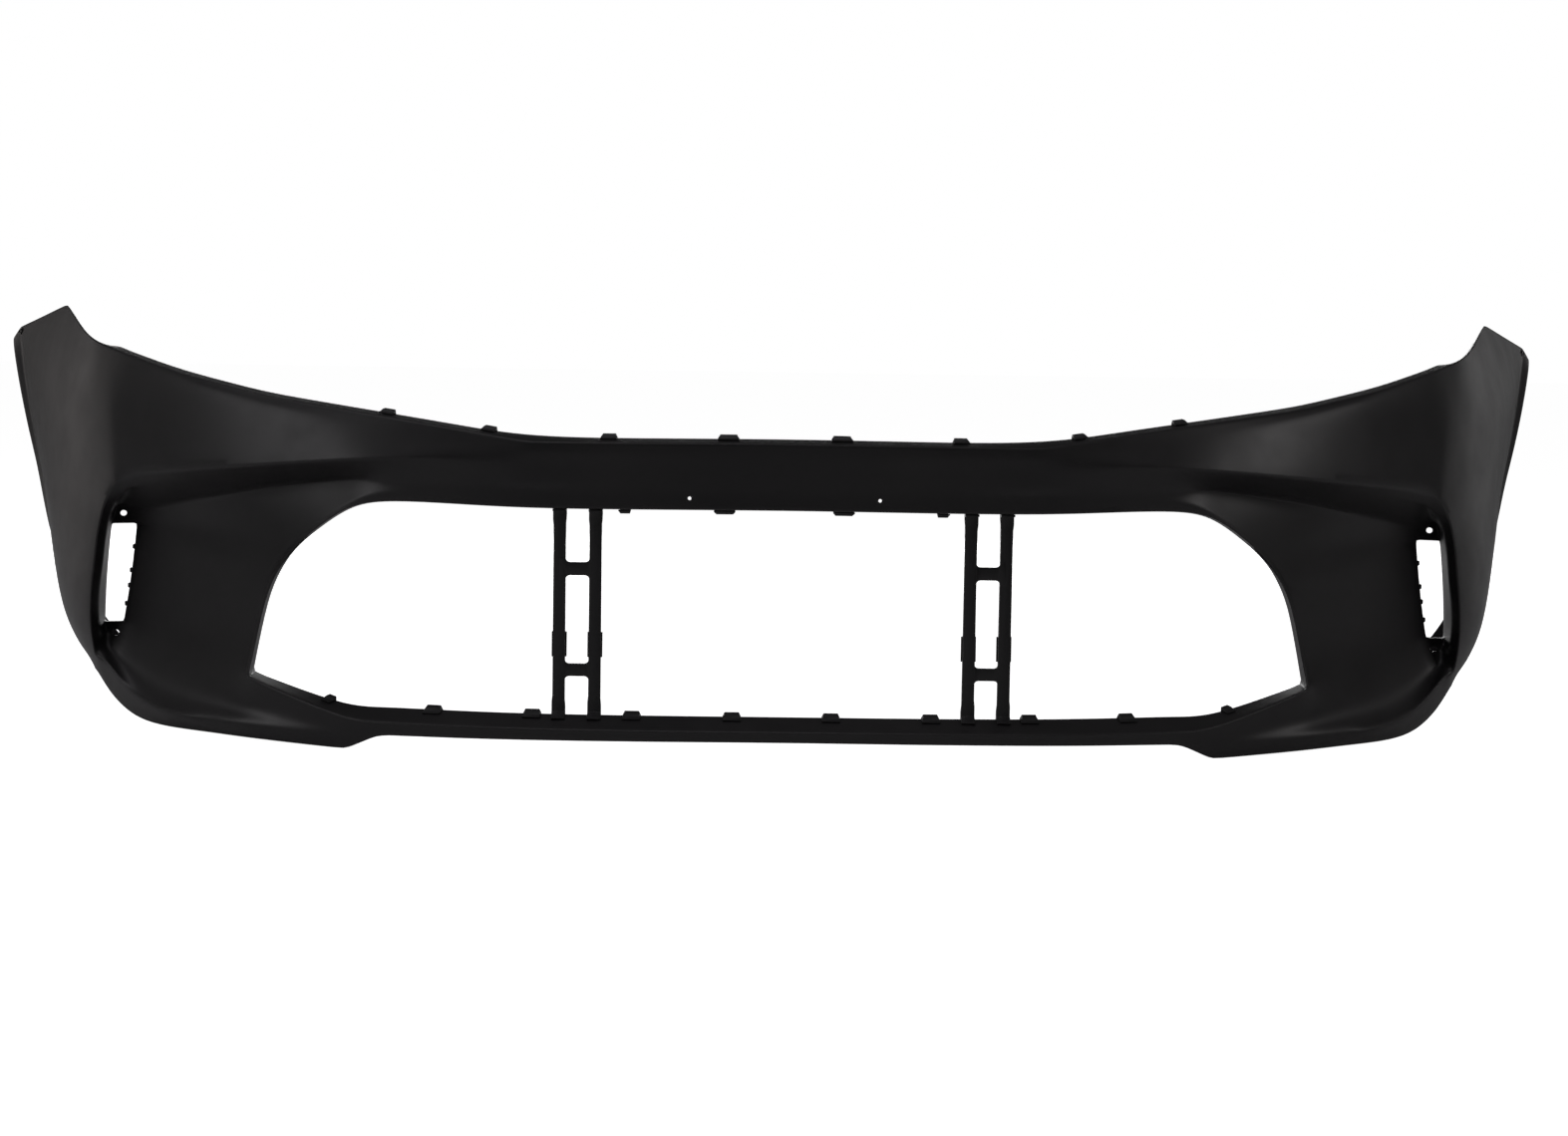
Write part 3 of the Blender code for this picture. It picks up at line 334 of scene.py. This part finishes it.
def arch_point(z):
    """A point on the wheel arch's edge."""
    bulge = ARCH_BULGE * max(0.0, math.sin(math.pi * min(z / ARCH_BULGE_SPAN, 1.0)))
    bulge -= ARCH_TUCK * max(0.0, 1.0 - z / ARCH_TUCK_SPAN) ** 2
    y = ARCH_CENTRE_Y - math.sqrt(ARCH_RADIUS ** 2 - (z - ARCH_CENTRE_Z) ** 2)
    return Vector((ARCH_FOOT_X + ARCH_LEAN * z + bulge, y, z))


def arch_inner_point(z):
    """A point where the arch's flared edge begins."""
    share = max(0.0, (z - ARCH_FLARE_START_Z) / (ARCH_TOP_Z - ARCH_FLARE_START_Z))
    return arch_point(z) - Vector((ARCH_STRIP + ARCH_FLARE * share, ARCH_FLARE_DEPTH, 0.0))


def cheek_point(row, column):
    """A point of the cheek: a bowed line from the blade's crease back to the arch."""
    if row == TOP_CREASE:
        return Vector(CHEEK_TOP[column])
    z = ARCH_Z[row]
    if column == ARCH_EDGE:
        return arch_point(z)
    if column == ARCH_INNER:
        return arch_inner_point(z)
    start = front_point(row, BLADE_SIDE)
    end = arch_inner_point(z)
    rise = min(max((z - CHEEK_BEND_LOW_Z) / (CHEEK_BEND_HIGH_Z - CHEEK_BEND_LOW_Z), 0.0), 1.0)
    across, back = (low + rise * (high - low) for low, high in zip(CHEEK_BEND_LOW, CHEEK_BEND_HIGH))
    bend = Vector((start.x + across * (end.x - start.x), start.y + back * (end.y - start.y),
                   (start.z + end.z) / 2))
    t = CHEEK_STEPS[column]
    return start * (1 - t) ** 2 + bend * 2 * t * (1 - t) + end * t ** 2


def cage_point(row, column):
    """A point of the cage."""
    if row == TOP_FLANGE:
        step = Vector(between([(c, *s) for c, s in TOP_FLANGE_STEPS.items()], column, float))
        return cage_point(TOP_CREASE, column) + step
    if row == BOTTOM_FLANGE:
        step = Vector(between([(c, *s) for c, s in BOTTOM_FLANGE_STEPS.items()], column, float))
        return cage_point(BOTTOM, column) + step
    if column == ARCH_FLANGE:
        return cage_point(row, ARCH_EDGE) + Vector((-ARCH_RETURN, ARCH_RETURN_BACK, 0.0))
    if column >= CORNER:
        return cheek_point(row, column)
    return front_point(row, column)


def is_open(row, column):
    """Whether the cage's face below this row and outside this column is left out."""
    grille = column < OPENING_SIDE and OPENING_TOP <= row < LIP
    slot = column == SLOT_INNER and SLOT_TOP <= row < SLOT_BOTTOM
    return grille or slot


def has_point(row, column):
    """Whether the cage has this point, or the grille opening takes its place."""
    return column >= OPENING_SIDE or not OPENING_TOP < row < LIP


def opening_rim():
    """The grille opening's edge in order, each with the step to its flange's rear edge."""
    top = [(OPENING_TOP, c, Vector(TOP_RETURN)) for c in range(CENTRE, OPENING_SIDE + 1)]
    side = [(r, OPENING_SIDE, Vector(SIDE_RETURN)) for r in range(SLOT_TOP, LIP)]
    foot = [(LIP, OPENING_SIDE, Vector(CORNER_RETURN))]
    ledge = [(LIP, c, Vector((0.0, LEDGE_DEPTH, LEDGE_RISE if c <= ROOF_TIP else LEDGE_BEND_RISE)))
             for c in range(DIAGONAL, CENTRE - 1, -1)]
    return top + side + foot + ledge


def slot_rim():
    """The air slot's edge in order."""
    down = [(r, SLOT_INNER) for r in range(SLOT_TOP, SLOT_BOTTOM + 1)]
    up = [(r, SLOT_OUTER) for r in range(SLOT_BOTTOM, SLOT_TOP - 1, -1)]
    return down + up + down[:1]


def shell_cage():
    """The half cage as a bmesh, with its creases."""
    bm = bmesh.new()
    edge_crease = bm.edges.layers.float.new("crease_edge")
    point_crease = bm.verts.layers.float.new("crease_vert")
    points = {}
    for row in range(BOTTOM_FLANGE + 1):
        for column in range(ARCH_FLANGE + 1):
            if has_point(row, column):
                points[row, column] = bm.verts.new(cage_point(row, column))
    for row in range(BOTTOM_FLANGE):
        for column in range(ARCH_FLANGE):
            if not is_open(row, column):
                bm.faces.new((points[row, column], points[row + 1, column],
                              points[row + 1, column + 1], points[row, column + 1]))
    rim = opening_rim()
    rim_keys = [(row, column) for row, column, step in rim]
    rear = [bm.verts.new(points[row, column].co + step) for row, column, step in rim]
    for index in range(len(rim) - 1):
        near, far = points[rim[index][:2]], points[rim[index + 1][:2]]
        bm.faces.new((near, rear[index], rear[index + 1], far))
    edge = slot_rim()
    back = [bm.verts.new(points[key].co + Vector((0.0, SLOT_RIM_DEPTH, 0.0))) for key in edge[:-1]]
    for index in range(len(edge) - 1):
        following = back[(index + 1) % len(back)]
        bm.faces.new((points[edge[index]], back[index], following, points[edge[index + 1]]))
        bm.edges.get((points[edge[index]], points[edge[index + 1]]))[edge_crease] = SLOT_CREASE
    for key in ((SLOT_TOP, SLOT_INNER), (SLOT_TOP, SLOT_OUTER),
                (SLOT_BOTTOM, SLOT_INNER), (SLOT_BOTTOM, SLOT_OUTER)):
        points[key][point_crease] = SLOT_POINT_CREASE
        bm.edges.get((points[key], back[edge.index(key)]))[edge_crease] = CORNER_CREASE
    for row, start, end, sharpness in ROW_CREASES:
        for column in range(start, end):
            bm.edges.get((points[row, column], points[row, column + 1]))[edge_crease] = sharpness
    for column, start, end, sharpness in COLUMN_CREASES:
        for row in range(start, end):
            bm.edges.get((points[row, column], points[row + 1, column]))[edge_crease] = sharpness
    for key in SHARP_POINTS:
        points[key][point_crease] = CORNER_CREASE
    corner = rim_keys.index((LIP, OPENING_SIDE))
    rear[corner][point_crease] = CORNER_CREASE
    bm.edges.get((points[LIP, OPENING_SIDE], rear[corner]))[edge_crease] = CORNER_CREASE
    bmesh.ops.recalc_face_normals(bm, faces=bm.faces)
    bm.normal_update()
    if points[BLADE, CENTRE].normal.y > 0:
        bmesh.ops.reverse_faces(bm, faces=bm.faces)
    return bm


# Making objects.

def clear_scene():
    """Removes every object."""
    for thing in list(bpy.data.objects):
        bpy.data.objects.remove(thing, do_unlink=True)


def add_object(name, bm, material, origin=CAGE_ORIGIN):
    """A smooth-shaded scene object from a bmesh in millimetres."""
    bmesh.ops.translate(bm, vec=Vector(origin), verts=bm.verts)
    bmesh.ops.scale(bm, vec=(MM, MM, MM), verts=bm.verts)
    mesh = bpy.data.meshes.new(name)
    bm.to_mesh(mesh)
    bm.free()
    mesh.materials.append(material)
    mesh.polygons.foreach_set("use_smooth", [True] * len(mesh.polygons))
    thing = bpy.data.objects.new(name, mesh)
    bpy.context.scene.collection.objects.link(thing)
    return thing


def apply_modifiers(thing):
    """Leaves the object with the mesh its modifiers made, and no modifiers."""
    evaluated = thing.evaluated_get(bpy.context.evaluated_depsgraph_get())
    mesh = bpy.data.meshes.new_from_object(evaluated)
    thing.modifiers.clear()
    thing.data = mesh


# Materials.

class Tree:
    """Adds nodes to a material or a world, each with its inputs set or linked."""

    def __init__(self, owner):
        self.nodes = owner.node_tree.nodes
        self.links = owner.node_tree.links

    def add(self, kind, inputs=None, **settings):
        made = self.nodes.new(kind)
        for key, value in settings.items():
            setattr(made, key, value)
        for key, value in (inputs or {}).items():
            if isinstance(value, bpy.types.NodeSocket):
                self.links.new(value, made.inputs[key])
            else:
                made.inputs[key].default_value = value
        return made

    def math(self, operation, first, second=0.5, clamp=False):
        made = self.add("ShaderNodeMath", {0: first, 1: second}, operation=operation, use_clamp=clamp)
        return made.outputs[0]

    def spread(self, value, low, high, to_low=0.0, to_high=1.0):
        inputs = {"Value": value, "From Min": low, "From Max": high, "To Min": to_low, "To Max": to_high}
        return self.add("ShaderNodeMapRange", inputs).outputs[0]

    def noise(self, place, scale, detail=3.0, rough=0.55):
        inputs = {"Vector": place, "Scale": scale, "Detail": detail, "Roughness": rough}
        return self.add("ShaderNodeTexNoise", inputs).outputs["Fac"]

    def blend(self, share, first, second):
        made = self.add("ShaderNodeMix", data_type="RGBA")
        for socket, value in ((made.inputs[0], share), (made.inputs[6], first), (made.inputs[7], second)):
            if isinstance(value, bpy.types.NodeSocket):
                self.links.new(value, socket)
            else:
                socket.default_value = value if isinstance(value, float) else (*value, 1.0)
        return made.outputs[2]


def scuff_marks(tree, place):
    """Where hairline scuffs run: thin streaks that show only in patches."""
    inputs = {"Vector": place, "Rotation": SCUFF_TURN, "Scale": SCUFF_STRETCH}
    stretched = tree.add("ShaderNodeMapping", inputs)
    streaks = tree.spread(tree.noise(stretched.outputs[0], *SCUFF_NOISE), *SCUFF_RANGE)
    patches = tree.spread(tree.noise(place, *PATCH_NOISE), *PATCH_RANGE)
    return tree.math("MULTIPLY", streaks, patches)


def dust_share(tree, place, facing):
    """How much dust lies on the plastic: more on what faces up, in flecks."""
    up = tree.add("ShaderNodeSeparateXYZ", {0: facing}).outputs["Z"]
    flecks = tree.spread(tree.noise(place, *DUST_NOISE), *DUST_RANGE, 0.0, DUST_MOST)
    return tree.math("MULTIPLY", tree.spread(up, *DUST_FACING), flecks)


def moulded_plastic(name, dark, light, roughness, grain_size, edge_radius):
    """Black moulded plastic: cloudy colour, a little dust, fine grain, polished edges lightened partly as
    wear and partly as a painted highlight, and hairline scuffs.
    """
    material = bpy.data.materials.new(name)
    material.use_nodes = True
    tree = Tree(material)
    shader = tree.nodes["Principled BSDF"]
    place = tree.add("ShaderNodeTexCoord").outputs["Object"]
    facing = tree.add("ShaderNodeNewGeometry").outputs["Normal"]
    rounded = tree.add("ShaderNodeBevel", {"Radius": edge_radius}, samples=EDGE_SAMPLES).outputs[0]
    turned = tree.add("ShaderNodeVectorMath", {0: rounded, 1: facing}, operation="DOT_PRODUCT")
    edge = tree.spread(turned.outputs["Value"], *WORN_AND_HIGHLIGHT_RANGE)

    clouds = tree.spread(tree.noise(place, *CLOUD_NOISE), *CLOUD_RANGE)
    colour = tree.blend(clouds, dark, light)
    dust = dust_share(tree, place, facing)
    colour = tree.blend(dust, colour, DUST)
    # Lightens the rounded edges: partly wear, partly a painted highlight.
    colour = tree.blend(tree.math("MULTIPLY", edge, WORN_AND_HIGHLIGHT_SHARE), colour, WORN_EDGE_AND_HIGHLIGHT)

    scuffs = scuff_marks(tree, place)
    patchy = tree.noise(place, *ROUGH_NOISE)
    rough = tree.spread(patchy, *ROUGH_RANGE, roughness - ROUGH_BELOW, roughness + ROUGH_ABOVE)
    rough = tree.math("ADD", rough, tree.math("MULTIPLY", dust, DUST_DULLS))
    rough = tree.math("SUBTRACT", rough, tree.math("MULTIPLY", edge, WORN_POLISH))
    rough = tree.math("ADD", rough, tree.math("MULTIPLY", scuffs, SCUFF_DULLS), True)

    inputs = {"Vector": place, "Scale": 1.0 / grain_size}
    grain = tree.add("ShaderNodeTexVoronoi", inputs, feature="SMOOTH_F1").outputs["Distance"]
    pebble = tree.math("ADD", grain, tree.noise(place, PEBBLE_SCALE / grain_size, PEBBLE_DETAIL))
    relief = tree.math("SUBTRACT", pebble, tree.math("MULTIPLY", scuffs, SCUFF_DEPTH))
    inputs = {"Strength": GRAIN_STRENGTH, "Distance": GRAIN_HEIGHT, "Height": relief, "Normal": rounded}
    bump = tree.add("ShaderNodeBump", inputs)
    tree.links.new(colour, shader.inputs["Base Color"])
    tree.links.new(rough, shader.inputs["Roughness"])
    tree.links.new(bump.outputs[0], shader.inputs["Normal"])
    shader.inputs["IOR"].default_value = PLASTIC_IOR
    shader.inputs["Specular IOR Level"].default_value = PLASTIC_SPECULAR
    return material


# The shell.

def add_bores(material):
    """One hidden piece that bores every small hole of the shell."""
    bm = bmesh.new()
    for side in (-1, 1):
        for place, axis, radius in ((SLOT_HOLE_UPPER, SLOT_HOLE_AXIS, SLOT_HOLE_RADIUS),
                                    (SLOT_HOLE_LOWER, SLOT_HOLE_AXIS, SLOT_HOLE_RADIUS),
                                    (PILOT_HOLE, (0.0, 1.0, 0.0), PILOT_HOLE_RADIUS)):
            turn = Vector((0, 0, 1)).rotation_difference(Vector((side * axis[0], *axis[1:])))
            stand = Matrix.Translation((side * place[0], *place[1:])) @ turn.to_matrix().to_4x4()
            bmesh.ops.create_cone(bm, cap_ends=True, segments=BORE_SIDES, radius1=radius,
                                  radius2=radius, depth=BORE_DEPTH, matrix=stand)
    return add_object("bores", bm, material)


def add_shell(material):
    """The whole moulding: mirrored, smoothed, given its wall and drilled."""
    shell = add_object("moulded_shell", shell_cage(), material)
    mirror = shell.modifiers.new("both sides", "MIRROR")
    mirror.merge_threshold = MIRROR_MERGE
    smooth = shell.modifiers.new("smooth", "SUBSURF")
    smooth.levels = SMOOTHING
    smooth.render_levels = SMOOTHING
    wall = shell.modifiers.new("wall", "SOLIDIFY")
    wall.thickness = WALL * MM
    wall.offset = -1.0
    wall.use_even_offset = True
    wall.thickness_clamp = 1.0
    bores = add_bores(material)
    cut = shell.modifiers.new("holes", "BOOLEAN")
    cut.object = bores
    apply_modifiers(shell)
    bpy.data.objects.remove(bores)
    shell.data.set_sharp_from_angle(angle=math.radians(SHARP_ANGLE))
    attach(shell, "root")
    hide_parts("cover_shell")


def slot_edge(share):
    """A point on the air slot's inner edge, a share of the way down it."""
    edge = [cage_point(row, SLOT_INNER) for row in range(SLOT_TOP, SLOT_BOTTOM + 1)]
    z = edge[0].z + share * (edge[-1].z - edge[0].z)
    for above, below in zip(edge, edge[1:]):
        if below.z <= z <= above.z:
            return above.lerp(below, (above.z - z) / (above.z - below.z))
    return edge[-1]


def add_teeth(side, material):
    """The small rounded teeth on an air slot's inner edge."""
    bm = bmesh.new()
    for share in TOOTH_PLACES:
        made = bmesh.ops.create_cube(bm, size=1.0)["verts"]
        bmesh.ops.scale(bm, vec=TOOTH_SIZE, verts=made)
        place = slot_edge(share) + Vector((0.0, SLOT_RIM_DEPTH / 2 + TOOTH_SETBACK, 0.0))
        bmesh.ops.translate(bm, vec=(side * place.x, place.y, place.z), verts=made)
    bmesh.ops.bevel(bm, geom=bm.edges[:], offset=TOOTH_ROUNDING, segments=TOOTH_STEPS, profile=0.5,
                    affect="EDGES")
    where = "left" if side < 0 else "right"
    teeth = add_object(f"slot_teeth_{where}", bm, material)
    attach(teeth, "root")


# Struts and clips.

def rounded_copy(node, material, radius, segments):
    """A copy of a CAD piece with its flat faces whole again and its edges rounded."""
    bm = bmesh.new()
    bm.from_mesh(frame["nodes"][node].data)
    bmesh.ops.remove_doubles(bm, verts=bm.verts, dist=CAD_MERGE)
    bmesh.ops.dissolve_limit(bm, angle_limit=math.radians(FLAT_ANGLE), verts=bm.verts, edges=bm.edges)
    bmesh.ops.scale(bm, vec=(1 / MM, 1 / MM, 1 / MM), verts=bm.verts)
    piece = add_object(node + "_moulding", bm, material, (0.0, 0.0, 0.0))
    bevel = piece.modifiers.new("edges", "BEVEL")
    bevel.width = radius * MM
    bevel.segments = segments
    bevel.limit_method = "ANGLE"
    bevel.angle_limit = math.radians(EDGE_ANGLE)
    bevel.harden_normals = True
    apply_modifiers(piece)
    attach(piece, "root")
    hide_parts(node)
    return piece


def add_fittings(strut_material, clip_material_painted_shade):
    """A rounded copy of each strut and of each numbered clip."""
    for node in sorted(frame["nodes"]):
        if node.startswith("ladder_strut"):
            rounded_copy(node, strut_material, *STRUT_EDGE)
        elif node.endswith(tuple("0123456789")):
            # Clips take the darker plastic, which paints shade onto them.
            rounded_copy(node, clip_material_painted_shade, *CLIP_EDGE)


# Studio.

def add_floor():
    """White paper under the cover, which glows for the camera alone."""
    bm = bmesh.new()
    bmesh.ops.create_grid(bm, x_segments=1, y_segments=1, size=FLOOR_SIZE)
    material = bpy.data.materials.new("floor_paper")
    material.use_nodes = True
    tree = Tree(material)
    shader = tree.nodes["Principled BSDF"]
    shader.inputs["Base Color"].default_value = (FLOOR_GREY, FLOOR_GREY, FLOOR_GREY, 1.0)
    shader.inputs["Roughness"].default_value = FLOOR_ROUGHNESS
    shader.inputs["Specular IOR Level"].default_value = 0.0
    shader.inputs["Emission Color"].default_value = (1.0, 1.0, 1.0, 1.0)
    seen = tree.add("ShaderNodeLightPath").outputs["Is Camera Ray"]
    tree.links.new(tree.spread(seen, 0.0, 1.0, 0.0, FLOOR_SEEN), shader.inputs["Emission Strength"])
    floor = add_object("floor", bm, material, (0.0, 0.0, -FLOOR_DROP))


def add_light(name, place, target, size, power, colour):
    """A soft lamp, hidden from the camera, that points at a target."""
    lamp = bpy.data.lights.new(name, "AREA")
    lamp.shape = "RECTANGLE"
    lamp.size, lamp.size_y = size
    lamp.energy = power
    lamp.color = colour
    thing = bpy.data.objects.new(name, lamp)
    thing.visible_camera = False
    thing.location = place
    thing.rotation_euler = (Vector(target) - Vector(place)).to_track_quat("-Z", "Y").to_euler()
    bpy.context.scene.collection.objects.link(thing)


def add_world():
    """A room that looks white to the camera and lights the cover only dimly."""
    world = bpy.data.worlds.new("studio")
    world.use_nodes = True
    bpy.context.scene.world = world
    tree = Tree(world)
    background = tree.nodes["Background"]
    seen = tree.add("ShaderNodeLightPath").outputs["Is Camera Ray"]
    strength = tree.spread(seen, 0.0, 1.0, WORLD_LIGHT, WORLD_SEEN)
    tree.links.new(strength, background.inputs["Strength"])
    background.inputs["Color"].default_value = (1.0, 1.0, 1.0, 1.0)


def add_camera():
    """A long lens in front of the cover, a little above it, turned slightly and rolled slightly."""
    yaw, pitch, roll = (math.radians(angle) for angle in (CAMERA_YAW, CAMERA_PITCH, CAMERA_ROLL))
    turn = Matrix.Rotation(roll, 3, "Y") @ Matrix.Rotation(pitch, 3, "X") @ Matrix.Rotation(yaw, 3, "Z")
    camera = bpy.data.cameras.new("camera")
    camera.lens = CAMERA_LENS
    camera.sensor_width = CAMERA_SENSOR
    thing = bpy.data.objects.new("camera", camera)
    axes = Matrix((turn[0], turn[2], -turn[1])).transposed()
    thing.matrix_world = Matrix.Translation(CAMERA_PLACE) @ axes.to_4x4()
    bpy.context.scene.collection.objects.link(thing)
    bpy.context.scene.camera = thing


clear_scene()
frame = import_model()
add_camera()
add_world()
add_floor()
for lamp in LIGHTS:
    add_light(*lamp)
shell_plastic = moulded_plastic("shell_plastic", **SHELL_PLASTIC)
strut_plastic = moulded_plastic("strut_plastic", **STRUT_PLASTIC)
# The clips' material is darkened as painted shade.
clip_plastic_painted_shade = moulded_plastic("clip_plastic_painted_shade", **CLIP_PLASTIC_PAINTED_SHADE)
add_shell(shell_plastic)
add_teeth(-1, shell_plastic)
add_teeth(1, shell_plastic)
add_fittings(strut_plastic, clip_plastic_painted_shade)
bpy.context.scene.view_settings.view_transform = "Standard"
